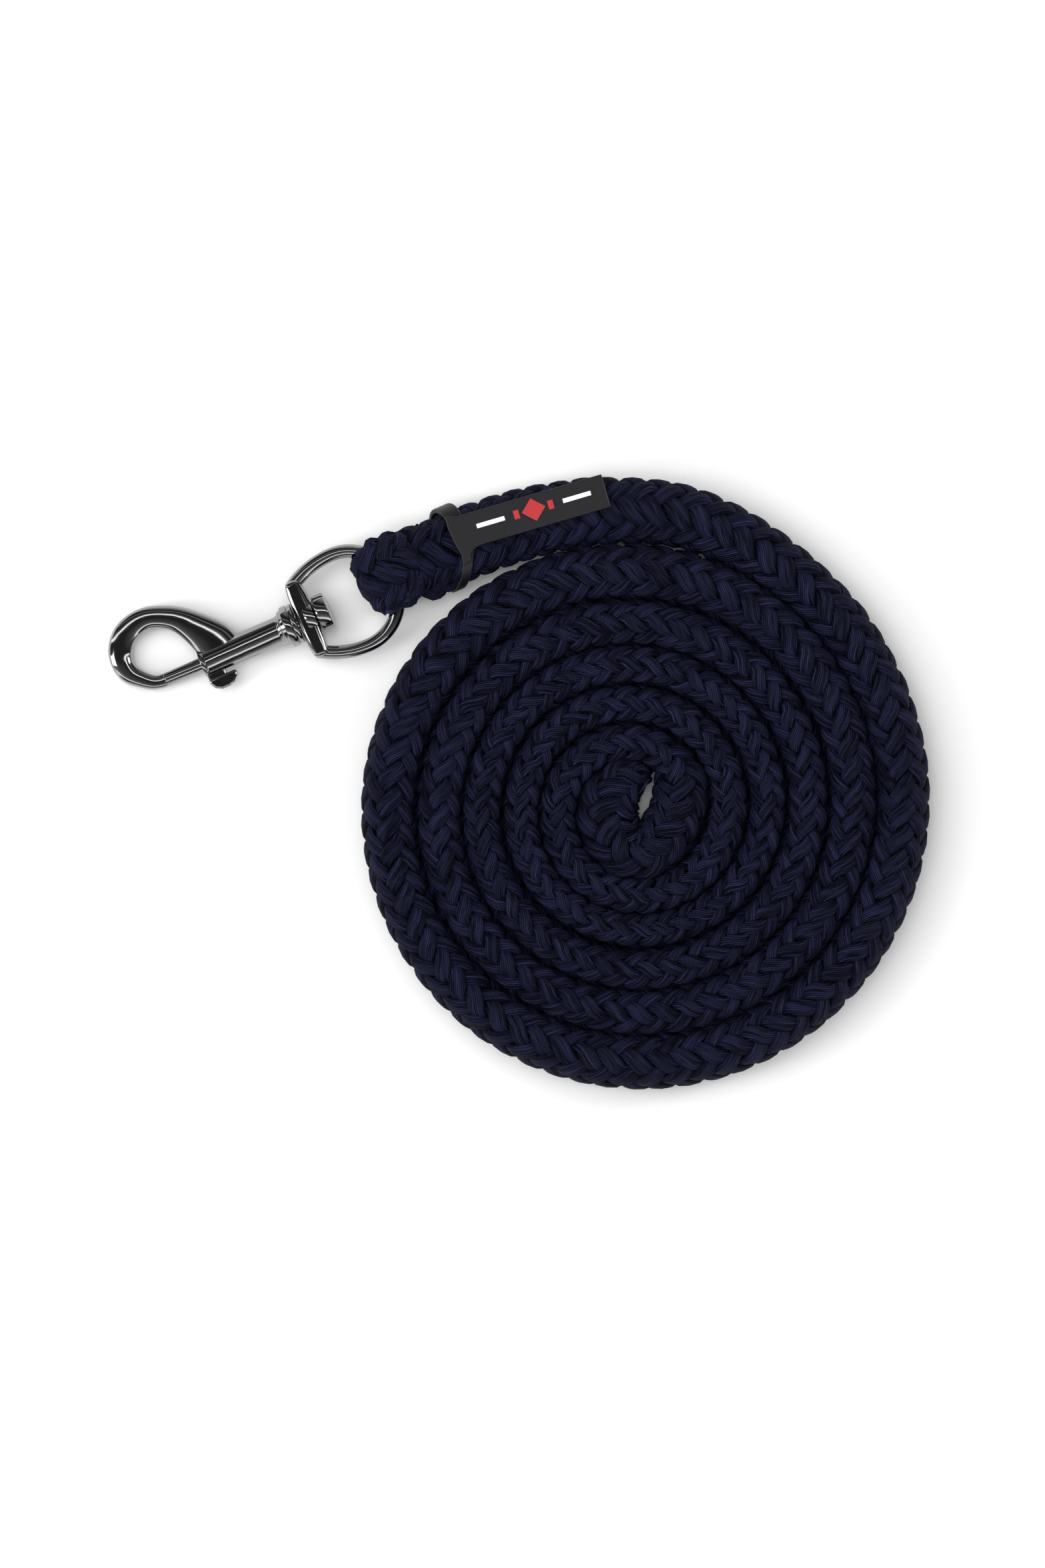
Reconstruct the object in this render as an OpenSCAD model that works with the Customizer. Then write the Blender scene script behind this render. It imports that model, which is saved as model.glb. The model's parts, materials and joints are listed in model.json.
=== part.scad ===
// Braided lead rope, wound into a flat spiral, with a swivel bolt snap spliced into its eye.
// The snap lies along X with its nose towards -X, and the spiral lies behind it towards -Y.

/* [Rope] */
// Width of the rope where it lies flat, beside the tag
rope_w = 27; // [24:0.5:28]
// Height of the rope where it lies flat
rope_h = 18; // [16:0.5:18.5]
// Width of one outer turn of the spiral
turn_w = 20; // [17:0.5:22]
// Outer radius of the spiral
coil_r = 101; // [98:1:104]
// Height of the spiral
coil_h = 25; // [22:1:28]

/* [Snap] */
// Outer diameter of the barrel
barrel_d = 10.4; // [10:0.1:11]
// Diameter of the bolt
bolt_d = 5; // [4.6:0.1:5.2]
// How far the thumb tab draws the bolt back
bolt_travel = 14; // [12:0.5:14]
// Thickness of the hook at its widest
hook_t = 8; // [7:0.5:8]

/* [Swivel] */
// Diameter of the flange, next to the ring's cross bar
flange_d = 15.4; // [14:0.2:16]
// Diameter of the post that the snap turns on
post_d = 6; // [5:0.2:6.4]
// Diameter of the ring's wire
wire_d = 5; // [4.6:0.1:5.2]
// Outer width of the D-ring
ring_w = 40.2; // [39:0.2:41]

/* [Tag] */
// Width of the tag's tongue
tongue_w = 12.2; // [10:0.2:14]
// Length of the tag's tongue
tongue_len = 52; // [40:1:56]
// Thickness of the tag's tongue
tongue_t = 2.6; // [2:0.2:3]

/* [Hidden] */
$fn = 48;
// All lengths below are in the snap's own frame: X along the barrel, with 0 near its middle.
barrel_front = -20;
barrel_back = 12;
flange_back = 17.6;
wall_gap = 0.05;
bolt_tip = -34.3;
bolt_end = -9;
bore_end = 11;
tab_len = 7;
slot_end = barrel_front + tab_len + bolt_travel + 0.4;
bar_front = 18.1;
bar_back = 24.9;
head_front = 25.4;
head_back = 30;
// The D-ring: a half circle round ring_x, and a flatter arc on each side down to the cross bar.
ring_x = 38;
ring_r = (ring_w - wire_d) / 2;
side_r = 32;
side_angle = 34;
ring_tip = ring_x + ring_r + wire_d / 2;
// The rope's eye sits a little to one side of the ring's middle, and turns about eye_at.
eye_turn = 7;
eye_inset = 1.5;
eye_z = 12.5;
eye_at = [ring_x + (ring_r - eye_inset) * cos(eye_turn), (ring_r - eye_inset) * sin(eye_turn)];
// The snap hangs from the eye with its nose on the ground.
hook_top = 27.1;
nose_x = -50;
nose_drop = eye_z - hook_t / 2;
lie_angle = asin(nose_drop / (eye_at[0] + 46.9));
// Middle of the snap and ring, seen from above, which is the part's origin.
origin_at = [(nose_x + ring_tip) / 2, (hook_top - ring_w / 2) / 2];
// Front end and middle line of the rope's eye, and the place behind it where the single rope begins.
eye_tip_x = 44.4;
eye_middle_y = 1;
neck_x = 77;
coil_at = [106, -114];
coil_round = 8;
collar_at = [80, 2.4];
collar_turn = -7;
collar_len = 4.2;
tongue_at = [86.3, 5.8];
tongue_z = 18.3;
spring_wire = 0.7;
spring_turns = 7;

// Middle of the hook's arm from its tip round to the barrel: x, y, half width, half thickness.
arm = [[-34.5, 0, 2.5, 2.5], [-36.2, 0.1, 2.5, 2.6], [-39, 1.1, 2.7, 2.8], [-42.3, 3.7, 3.1, 3.2],
       [-45.3, 7.2, 3.7, 3.7], [-46.3, 11.4, 4, hook_t / 2], [-45.2, 16, 4.4, hook_t / 2],
       [-41.8, 20.3, 4.5, hook_t / 2], [-37, 22.6, 4.3, hook_t / 2], [-31.8, 23, 4.1, hook_t / 2],
       [-26.4, 21.2, 4.2, hook_t / 2], [-21.4, 18, 4.8, hook_t / 2], [-17, 12.8, 6, hook_t / 2],
       [-13, 6.2, 7.6, hook_t / 2], [-12, 1, 8, hook_t / 2]];
// Route of the rope from the eye's neck to the spiral's outer turn: x, y, z.
route = [[76, 2, 10.5], [82, 2.4, 10.3], [90, 2, 9.8], [100, 1.2, 9.4], [110, -0.2, 9.3], [120, -2.4, 9.4],
         [130, -5, 9.5], [140, -9, 9.7], [150, -13.6, 10], [160, -20, 10.5], [169, -28.5, 11], [177, -38.5, 11.5],
         [184, -49.5, 12], [190, -61.5, 12], [195, -74, 12], [198, -86, 12], [199.5, -98, 12], [199.5, -108, 12]];

// Catmull-Rom curve through rows of numbers, at u counted in rows.
function row_at(rows, i) = rows[max(0, min(len(rows) - 1, i))];
function blend_rows(rows, i, f) =
    let(a = row_at(rows, i - 1), b = row_at(rows, i), c = row_at(rows, i + 1), d = row_at(rows, i + 2))
    b + f / 2 * (c - a) + f * f * (a - 2.5 * b + 2 * c - d / 2) + f * f * f * (1.5 * (b - c) + (d - a) / 2);
function curve(rows, u) = blend_rows(rows, floor(u), u - floor(u));
function direction(rows, u) =
    let(e = 0.05, last = len(rows) - 1, d = curve(rows, min(last, u + e)) - curve(rows, max(0, u - e)))
    [d[0], d[1]] / norm([d[0], d[1]]);

// Closed tube: one ring of points at each step along a curve, and two flat ends.
module tube(rings) {
    sides = len(rings[0]);
    points = [for (ring = rings) each ring];
    walls = [for (i = [0:len(rings) - 2], j = [0:sides - 1])
        let(a = i * sides + j, b = i * sides + (j + 1) % sides)
        each [[a, b, b + sides], [a, b + sides, a + sides]]];
    first_end = [for (j = [sides - 1:-1:0]) j];
    last_end = [for (j = [0:sides - 1]) (len(rings) - 1) * sides + j];
    polyhedron(points, concat(walls, [first_end, last_end]), convexity = 6);
}

// Upright oval ring of points about at, across the direction dir. power above 2 squares it off.
function oval(at, dir, half_w, half_h, sides, power = 2) = [for (j = [0:sides - 1])
    let(a = (j + 0.5) * 360 / sides, c = cos(a), s = sin(a),
        w = half_w * sign(c) * pow(abs(c), 2 / power), h = half_h * sign(s) * pow(abs(s), 2 / power))
    [at[0] + dir[1] * w, at[1] - dir[0] * w, at[2] + h]];

// Puts the origin at the middle of the snap and ring.
module place() {
    translate([-origin_at[0], -origin_at[1], 0]) children();
}

// Lays the snap down from the eye until its nose rests on the ground.
module lie() {
    place() translate([eye_at[0], eye_at[1], eye_z]) rotate([0, -lie_angle, 0])
        translate([-eye_at[0], -eye_at[1], 0]) children();
}

// Round bar along X.
module bar_x(from, to, r) {
    translate([from, 0, 0]) rotate([0, 90, 0]) cylinder(h = to - from, r = r);
}

module rope_coil() {
    color("#1b2145") place() translate([coil_at[0], coil_at[1], 0]) rotate_extrude($fn = 96) union() {
        square([coil_r - coil_round, coil_h]);
        translate([0, coil_round]) square([coil_r, coil_h - 2 * coil_round]);
        translate([coil_r - coil_round, coil_round]) circle(coil_round);
        translate([coil_r - coil_round, coil_h - coil_round]) circle(coil_round);
    }
}

module rope_lead() {
    steps = 48;
    last = len(route) - 1;
    color("#1b2145") place() tube([for (i = [0:steps])
        let(u = i * last / steps, share = i / steps,
            half_w = (rope_w + (turn_w - rope_w) * share) / 2,
            half_h = (rope_h + (coil_h - 1 - rope_h) * share * share) / 2)
        oval(curve(route, u), direction(route, u), half_w, half_h, 12)]);
}

// Space that the ring's wire sweeps as the ring turns in the eye, flared where the wire curves away.
module eye_hollow() {
    r = wire_d / 2;
    side = [[r + 1.9, 8], [r + 2.7, 10], [r + 4.2, 11.5], [r + 6.4, 13], [r + 11.5, 16]];
    last = len(side) - 1;
    translate([eye_at[0], eye_at[1], eye_z]) rotate([0, 0, eye_turn]) rotate([90, 0, 0]) rotate_extrude()
        polygon([[0, side[last][1]], for (i = [last:-1:0]) side[i], for (p = side) [p[0], -p[1]],
                 [0, -side[last][1]]]);
}

// Round bar across the rope, at a distance behind the eye's axis.
module bar_y(back, r, width) {
    translate([eye_at[0] + back, eye_middle_y, eye_z]) rotate([90, 0, 0])
        cylinder(h = width, r = r, center = true, $fn = 32);
}

module rope_eye() {
    neck_r = 8.4;
    color("#1b2145") place() difference() {
        hull() {
            bar_y(0, eye_at[0] - eye_tip_x, 18);
            bar_y(1, 7.8, 24.6);
            bar_y(6, eye_z, 20);
            bar_y(8, 9, 29.6);
            for (side = [-1, 1])
                translate([neck_x, eye_middle_y + 1 + side * (rope_w / 2 - neck_r), route[0][2]])
                    rotate([0, -90, 0]) cylinder(h = 1, r = neck_r, $fn = 32);
        }
        eye_hollow();
    }
}

// Band round the rope, cut from an oval, and a tongue along its top. They are one moulding.
function ellipse_points(a, b) = [for (i = [0:35]) [a * cos(10 * i), b * sin(10 * i)]];

module collar_outline(half_w, half_h) {
    polygon(ellipse_points(half_w, half_h));
}

module rubber_tag() {
    half_h = 9.9;
    color("#1c1d20") place() union() {
        translate([collar_at[0], collar_at[1], half_h + 0.1]) rotate([0, 0, collar_turn])
            rotate([90, 0, 90]) linear_extrude(collar_len, center = true) difference() {
                collar_outline(rope_w / 2 + 1.9, half_h);
                collar_outline(rope_w / 2 + 0.1, half_h - 1.2);
            }
        translate([tongue_at[0], tongue_at[1], tongue_z]) rotate([0, 0, collar_turn]) linear_extrude(tongue_t) {
            translate([0, -tongue_w / 2]) square([tongue_len, tongue_w]);
            polygon([[0.5, -tongue_w / 2], [3, -tongue_w / 2], [-3.5, -tongue_w / 2 - 3.2],
                     [-7.4, -tongue_w / 2 - 3.2], [-7.4, tongue_w / 2 - 1], [-5, tongue_w / 2], [0.5, tongue_w / 2]]);
        }
    }
}

// Piece on the tongue's top face, at a distance along the tongue.
module on_tongue(along) {
    place() translate([tongue_at[0], tongue_at[1], tongue_z + tongue_t]) rotate([0, 0, collar_turn])
        translate([along, 0.7, 0]) linear_extrude(0.5) children();
}

module dash() {
    translate([0, -0.8]) square([10.4, 1.6]);
}

module tag_dash_front() {
    color("white") on_tongue(4) dash();
}

module tag_dash_rear() {
    color("white") on_tongue(36.1) dash();
}

// Plain lozenge with a bar on each side.
module tag_emblem() {
    color("#c8242c") on_tongue(25.2) union() {
        polygon([[-4.4, 0], [0, 4.2], [4.4, 0], [0, -4.2]]);
        for (side = [-1, 1]) translate([side * 6.4 - 1, -1.6]) square([2, 3.2]);
    }
}

module swivel_ring() {
    color("#4a4b50") lie() difference() {
        union() {
            translate([ring_x, 0, 0]) rotate([0, 0, -90]) rotate_extrude(angle = 180)
                translate([ring_r, 0]) circle(wire_d / 2);
            for (side = [0, 1]) mirror([0, side, 0])
                translate([ring_x, ring_r - side_r, 0]) rotate([0, 0, 90])
                    rotate_extrude(angle = side_angle) translate([side_r, 0]) circle(wire_d / 2);
            translate([bar_front, -14, -3.2]) cube([bar_back - bar_front - 1.4, 28, 6.4]);
            bar_x(bar_front, bar_back, 6.4);
        }
        bar_x(bar_front - 1, bar_back + 1, post_d / 2 + wall_gap);
    }
}

module swivel_post() {
    color("#4a4b50") lie() union() {
        bar_x(barrel_back + 0.4, head_front + 0.1, post_d / 2);
        bar_x(head_front, head_back - 0.8, 6.6);
        bar_x(head_back - 0.8, head_back, 5.9);
    }
}

module hook_arm() {
    steps = 39;
    last = len(arm) - 1;
    tube([for (i = [0:steps])
        let(u = i * last / steps, at = curve(arm, u))
        oval([at[0], at[1], 0], direction(arm, u), at[2], at[3], 16, 2.6)]);
}

module snap_body() {
    color("#4a4b50") lie() difference() {
        union() {
            hook_arm();
            bar_x(barrel_front, barrel_back, barrel_d / 2);
            bar_x(barrel_back - 0.6, 13.6, flange_d / 2 - 1.4);
            bar_x(13.4, 15.7, flange_d / 2);
            bar_x(15.6, 16.1, flange_d / 2 - 0.7);
            bar_x(16, flange_back, flange_d / 2 - 0.2);
        }
        bar_x(barrel_front - 0.1, bore_end, bolt_d / 2 + wall_gap);
        bar_x(barrel_back + 0.4, flange_back + 1, post_d / 2);
        translate([barrel_front - 0.1, -barrel_d, -2.1])
            cube([slot_end - barrel_front + 0.1, barrel_d, 4.2]);
    }
}

module bolt() {
    color("#55565b") lie() bar_x(bolt_tip, bolt_end, bolt_d / 2);
}

module thumb_tab() {
    stem_x = barrel_front + 0.1;
    color("#55565b") lie() union() {
        translate([stem_x, -7.4, -1.9]) cube([tab_len, 7.4 - bolt_d / 2 + 0.6, 3.8]);
        translate([stem_x, 0, -3]) linear_extrude(6)
            polygon([[0, -6.4], [10.2, -6.4], [10.9, -7], [10.4, -8.6], [8.6, -10.4], [6.4, -11.2], [3.4, -11.2],
                     [1.2, -10], [0, -7.8]]);
    }
}

// Compression spring between the bolt and the closed end of the bore.
module bolt_spring() {
    steps = 10 * spring_turns;
    r = bolt_d / 2 - spring_wire;
    length = bore_end - bolt_end - spring_wire - 0.2;
    color("silver") lie() tube([for (i = [0:steps])
        let(a = i * 360 * spring_turns / steps, x = bolt_end + 0.1 + spring_wire / 2 + length * i / steps)
        [for (j = [0:5])
            let(k = 60 * j, out = r + spring_wire / 2 * cos(k))
            [x + spring_wire / 2 * sin(k), out * cos(a), out * sin(a)]]]);
}

rope_coil();
rope_lead();
rope_eye();
rubber_tag();
tag_dash_front();
tag_dash_rear();
tag_emblem();
swivel_ring();
swivel_post();
snap_body();
bolt();
thumb_tab();
bolt_spring();
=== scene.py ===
"""Looks of a braided lead rope with a swivel bolt snap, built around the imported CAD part.

Lengths are in metres. Only the snap's own frame is in millimetres: snap_points() turns its points into
points of the row frame.
"""

import json
import math

import bpy
import numpy as np
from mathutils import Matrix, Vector


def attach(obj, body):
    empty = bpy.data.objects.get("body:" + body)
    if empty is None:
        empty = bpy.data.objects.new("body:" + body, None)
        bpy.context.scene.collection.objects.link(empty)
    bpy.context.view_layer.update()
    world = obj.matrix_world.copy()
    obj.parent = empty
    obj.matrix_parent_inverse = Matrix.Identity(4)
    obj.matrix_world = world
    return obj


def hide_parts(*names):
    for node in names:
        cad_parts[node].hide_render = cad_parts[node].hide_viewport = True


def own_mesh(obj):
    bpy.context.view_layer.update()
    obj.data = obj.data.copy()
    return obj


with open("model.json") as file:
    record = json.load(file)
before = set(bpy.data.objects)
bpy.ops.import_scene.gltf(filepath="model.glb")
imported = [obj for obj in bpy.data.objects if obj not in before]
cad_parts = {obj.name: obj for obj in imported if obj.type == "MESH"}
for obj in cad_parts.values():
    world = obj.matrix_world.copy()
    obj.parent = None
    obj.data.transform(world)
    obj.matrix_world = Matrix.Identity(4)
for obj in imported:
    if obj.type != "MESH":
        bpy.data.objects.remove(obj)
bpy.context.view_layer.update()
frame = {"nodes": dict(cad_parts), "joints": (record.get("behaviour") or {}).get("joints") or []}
JOINTS = {joint["name"]: joint for joint in frame["joints"]}
MM = 0.001
rng = np.random.default_rng(7)


# ---------------------------------------------------------------- camera

# The photo looks straight down from far off. VIEW_HEIGHT is what the picture's height takes in.
VIEW_TURN = math.radians(-23.3)
VIEW_AT = Vector((0.0649, -0.0886, 0.0))
VIEW_HEIGHT = 0.5645
CAMERA_UP = 3.0
SENSOR = 36.0

camera_data = bpy.data.cameras.new("camera")
camera_data.sensor_width = SENSOR
camera_data.lens = SENSOR * CAMERA_UP / VIEW_HEIGHT
camera_data.clip_start = 0.1
camera_data.clip_end = 20
camera = bpy.data.objects.new("camera", camera_data)
bpy.context.scene.collection.objects.link(camera)
camera.location = VIEW_AT + Vector((0, 0, CAMERA_UP))
camera.rotation_euler = (0, 0, VIEW_TURN)
bpy.context.scene.camera = camera
bpy.context.scene.view_settings.view_transform = "Standard"


# ---------------------------------------------------------------- the rope's route and size

LEAD_HALF_W = 0.0135
LEAD_HALF_H = 0.0090
COIL_HALF_H = 0.0121
COIL_GROWTH = 0.0001
COIL_LIFT = 0.0006
# The coil's rope rises and falls as it goes round: each row has a height, a rate and a start.
COIL_SWAYS = ((0.0004, 3.1, 0), (0.0003, 1.7, 1))
# Length of one cell of the braid: from a strand to the next one of the same way.
CELL_AT_TAG = 0.0075
CELL_AT_BEND = 0.0090
CELL_INSIDE = 0.0076
# The cell changes over this many turns of the spiral, and faster than the lead runs on by this rate.
CELL_TURNS = 4
CELL_RATE = 1.3

# Middle line of the rope from the eye's neck to the spiral's outer turn.
LEAD = [
    (0.07195, -0.0015, 0.0105), (0.07795, -0.0011, 0.0103), (0.08595, -0.0015, 0.0098),
    (0.09595, -0.0023, 0.0094), (0.10595, -0.0037, 0.0093), (0.11595, -0.0059, 0.0094),
    (0.12595, -0.0085, 0.0095), (0.13595, -0.0125, 0.0097), (0.14595, -0.0171, 0.0100),
    (0.15595, -0.0235, 0.0105), (0.16495, -0.0320, 0.0110), (0.17295, -0.0420, 0.0115),
    (0.17995, -0.0530, 0.0120), (0.18595, -0.0650, 0.0120), (0.19095, -0.0775, 0.0120),
    (0.19395, -0.0895, 0.0120),
]
SPIRAL_AT = (0.0985, -0.1120)
SPIRAL_R = 0.0970
# The radius shrinks by these three times the turn, its square and its cube.
SPIRAL_PITCH = (0.01924, -0.00138, 0.00012)
SPIRAL_TURNS = 4.92
STEPS_PER_TURN = 24
# The turns press together, so each is this much wider than its share of the room.
TOUCH = 1.09
# Where the spiral stands out from its even curve: turn, reach in turns, distance.
SPIRAL_BULGES = ((0.75, 0.26, 0.0021), (4.35, 0.22, 0.0020))
# Where the rope of the spiral is thicker: turn, reach in turns, extra half width.
SPIRAL_SWELLS = ((0.78, 0.28, 0.0010),)
# The inner end, folded round on itself: x, y, half width.
INNER_END = [
    (0.1180, -0.1092, 0.0107), (0.1142, -0.1180, 0.0112), (0.1067, -0.1247, 0.0112),
    (0.0994, -0.1282, 0.0110), (0.0925, -0.1281, 0.0110), (0.0876, -0.1226, 0.0117),
    (0.0867, -0.1146, 0.0123), (0.0892, -0.1079, 0.0123), (0.0948, -0.1031, 0.0115),
    (0.1016, -0.1017, 0.0103), (0.1075, -0.1037, 0.0092),
]


def ease(x):
    """0 to 1 with a gentle start and end."""
    x = np.clip(x, 0, 1)
    return x * x * (3 - 2 * x)


def humps(turn, rows):
    """Height at a turn of smooth humps. Each row: turn of the top, reach in turns, height."""
    return sum(height * math.exp(-(((turn - top) / reach) ** 2)) for top, reach, height in rows)


def spiral_radius(turn):
    """Distance from the spiral's middle to the rope's middle line, a number of turns in."""
    first, second, third = SPIRAL_PITCH
    return SPIRAL_R - turn * (first + turn * (second + turn * third)) + humps(turn, SPIRAL_BULGES)


def spiral_half_width(turn):
    """Half of the rope's width in the spiral, a number of turns in."""
    room = (spiral_radius(turn - 1) - spiral_radius(turn + 1)) / 4
    return room * TOUCH + humps(turn, SPIRAL_SWELLS)


# Each row of the route: x, y, z, half width, half height, length of one cell of the braid.

def lead_rows():
    """The route from the eye's neck to the spiral's outer turn."""
    rows = []
    for i, (x, y, z) in enumerate(LEAD):
        share = i / len(LEAD)
        half_w = LEAD_HALF_W + (spiral_half_width(0.0) - LEAD_HALF_W) * ease(share)
        half_h = LEAD_HALF_H + (COIL_HALF_H - LEAD_HALF_H) * share**2
        cell = CELL_AT_TAG + (CELL_AT_BEND - CELL_AT_TAG) * ease(share * CELL_RATE)
        rows.append((x, y, z, half_w, half_h, cell))
    return rows


def spiral_rows():
    """The route round the spiral, clockwise and inwards, rising and falling a little."""
    rows = []
    for i in range(int(SPIRAL_TURNS * STEPS_PER_TURN) + 1):
        turn = i / STEPS_PER_TURN
        radius = spiral_radius(turn)
        angle = -2 * math.pi * turn
        x = SPIRAL_AT[0] + radius * math.cos(angle)
        y = SPIRAL_AT[1] + radius * math.sin(angle)
        sway = sum(height * math.sin(rate * angle + start) for height, rate, start in COIL_SWAYS)
        half_h = COIL_HALF_H + COIL_GROWTH * turn
        z = half_h + COIL_LIFT + sway * ease(turn)
        cell = CELL_AT_BEND + (CELL_INSIDE - CELL_AT_BEND) * ease(turn / CELL_TURNS)
        rows.append((x, y, z, spiral_half_width(turn), half_h, cell))
    return rows


def inner_rows():
    """The route of the folded inner end."""
    return [(x, y, COIL_HALF_H + COIL_LIFT, half_w, COIL_HALF_H, CELL_INSIDE) for x, y, half_w in INNER_END]


ROUTE = lead_rows() + spiral_rows() + inner_rows()


# ---------------------------------------------------------------- meshes

def new_object(name, points, faces):
    """A smooth-shaded mesh object in the scene."""
    mesh = bpy.data.meshes.new(name)
    mesh.from_pydata([tuple(p) for p in points], [], [tuple(int(i) for i in f) for f in faces])
    mesh.update()
    mesh.polygons.foreach_set("use_smooth", [True] * len(mesh.polygons))
    made = bpy.data.objects.new(name, mesh)
    bpy.context.scene.collection.objects.link(made)
    return made


def tube_faces(rings, sides, start=0, closed=False):
    """Faces of a tube of rings of points, with flat ends unless it closes on itself."""
    faces = []
    for i in range(rings if closed else rings - 1):
        for j in range(sides):
            a = start + i * sides + j
            b = start + i * sides + (j + 1) % sides
            c = start + (i + 1) % rings * sides + (j + 1) % sides
            d = start + (i + 1) % rings * sides + j
            faces.append((a, b, c, d))
    if not closed:
        faces.append([start + j for j in range(sides)][::-1])
        faces.append([start + (rings - 1) * sides + j for j in range(sides)])
    return faces


class Solid:
    """Points and faces of one piece, gathered part by part."""

    def __init__(self):
        self.points = []
        self.faces = []

    def tube(self, rings, closed=False):
        start = len(self.points)
        for ring in rings:
            self.points.extend(ring)
        self.faces.extend(tube_faces(len(rings), len(rings[0]), start, closed))

    def make(self, name, smooth_angle=35):
        made = new_object(name, self.points, self.faces)
        made.data.set_sharp_from_angle(angle=math.radians(smooth_angle))
        return made


def smooth_line(points, steps):
    """Catmull-Rom curve through points, with a number of steps between each pair."""
    rows = np.array(points, float)
    padded = np.vstack([2 * rows[0] - rows[1], rows, 2 * rows[-1] - rows[-2]])
    found = []
    for i in range(len(rows) - 1):
        a, b, c, d = padded[i : i + 4]
        for f in np.arange(steps) / steps:
            found.append(
                b + f / 2 * (c - a) + f**2 * (a - 2.5 * b + 2 * c - d / 2)
                + f**3 * (1.5 * (b - c) + (d - a) / 2)
            )
    found.append(rows[-1])
    return np.array(found)


def unit(rows):
    return rows / np.linalg.norm(rows, axis=-1, keepdims=True)


def squared(rows, direction):
    """Unit vectors along rows, made square to direction."""
    return unit(rows - np.sum(rows * direction, axis=1, keepdims=True) * direction)


def travelled_along(line):
    """Distance travelled along a line, at each of its points."""
    return np.concatenate([[0], np.cumsum(np.linalg.norm(np.diff(line, axis=0), axis=1))])


def power_cos(angle, power):
    """Cosine for a superellipse: a circle at power 2, and squarer above it."""
    c = np.cos(angle)
    return np.sign(c) * np.abs(c) ** (2 / power)


def power_sin(angle, power):
    """Sine for a superellipse: a circle at power 2, and squarer above it."""
    s = np.sin(angle)
    return np.sign(s) * np.abs(s) ** (2 / power)


# ---------------------------------------------------------------- braid

STRANDS = 8
RINGS_PER_CELL = 5
STRAND_SIDES = 10
HEART_SIDES = 16
ROPE_POWER = 2.25
EYE_POWER = 1.9
STRAND_POWER = 2.3
# How far a strand dives under its neighbours, in thicknesses of a strand.
STRAND_DIVE = 1.05
# How much wider a strand is than its share of the braid.
STRAND_FILL = 1.07
STRAND_HALF_W_LIMITS = (0.0004, 0.0040)
# Where the first strand starts round the rope, in strands, and how far each wanders from its even course.
FIRST_STRAND = 0.75
STRAND_WANDER = 0.05
# How deep the heart lies, in thicknesses of a strand, and its least share of the rope's size.
HEART_DEPTH = 1.35
HEART_LEAST = 0.2
END_LEAST = 0.06


class Course:
    """A braid's middle line, directions and size, sampled evenly in cells of the braid."""

    def __init__(self, line, side, half_w, half_h, cell, strand_t):
        step = np.linalg.norm(np.diff(line, axis=0), axis=1)
        cells = np.concatenate([[0], np.cumsum(step / ((cell[1:] + cell[:-1]) / 2))])
        self.at = np.linspace(0, cells[-1], int(cells[-1] * RINGS_PER_CELL) + 1)

        def sampled(rows):
            columns = rows.reshape(len(rows), -1).T
            return np.stack([np.interp(self.at, cells, column) for column in columns], axis=1)

        self.middle = sampled(line)
        forward = unit(np.gradient(self.middle, axis=0))
        self.across = squared(sampled(side), forward)
        self.up = np.cross(self.across, forward)
        self.w = sampled(half_w)
        self.h = sampled(half_h)
        self.thick = sampled(strand_t)


def strand(course, way, number, power):
    """Rings of one strand, which winds one way round the braid, and the marks of their points.

    A mark is the distance along the strand, the distance across it and a chance number of the strand's own.
    """
    wander = STRAND_WANDER * np.sin(course.at * rng.uniform(0.2, 0.5) + rng.uniform(0, 6))
    angle = 2 * math.pi / STRANDS * (way * course.at + number + FIRST_STRAND) + wander
    c = power_cos(angle, power)[:, None]
    s = power_sin(angle, power)[:, None]
    # Two over and two under: 1 where the strand is on top, -1 where it is below, with short crossings.
    lift = -way * np.cos(STRANDS / 2 * angle)
    lift = (lift * (1.3 - 0.3 * lift**2))[:, None]
    outward_across = course.across * np.cos(angle)[:, None] * course.h
    outward_up = course.up * np.sin(angle)[:, None] * course.w
    outward = unit(outward_across + outward_up)
    depth = course.thick / 2 + (1 - lift) / 2 * course.thick * STRAND_DIVE
    centre = course.middle + course.across * course.w * c + course.up * course.h * s - outward * depth
    along = unit(np.gradient(centre, axis=0))
    outward = squared(outward, along)
    flat = np.cross(along, outward)
    # One cell further along the rope at the same angle lies the next strand of the same way.
    next_strand = (
        np.gradient(course.middle, axis=0)
        + np.gradient(course.across, axis=0) * course.w * c
        + np.gradient(course.up, axis=0) * course.h * s
    ) * RINGS_PER_CELL
    gap = np.abs(np.sum(next_strand * flat, axis=1, keepdims=True))
    wide = np.clip(gap / 2 * STRAND_FILL * rng.uniform(0.97, 1.05), *STRAND_HALF_W_LIMITS)
    turns = 2 * math.pi * (np.arange(STRAND_SIDES) + 0.5) / STRAND_SIDES
    out = power_cos(turns, STRAND_POWER)[None, :, None]
    rise = power_sin(turns, STRAND_POWER)[None, :, None]
    rings = (
        centre[:, None, :]
        + flat[:, None, :] * wide[:, None, :] * out
        + outward[:, None, :] * course.thick[:, None, :] / 2 * rise
    )
    marks = np.zeros_like(rings)
    marks[:, :, 0] = travelled_along(centre)[:, None]
    marks[:, :, 1] = wide * out[:, :, 0]
    marks[:, :, 2] = rng.uniform()
    return rings, marks


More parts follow.
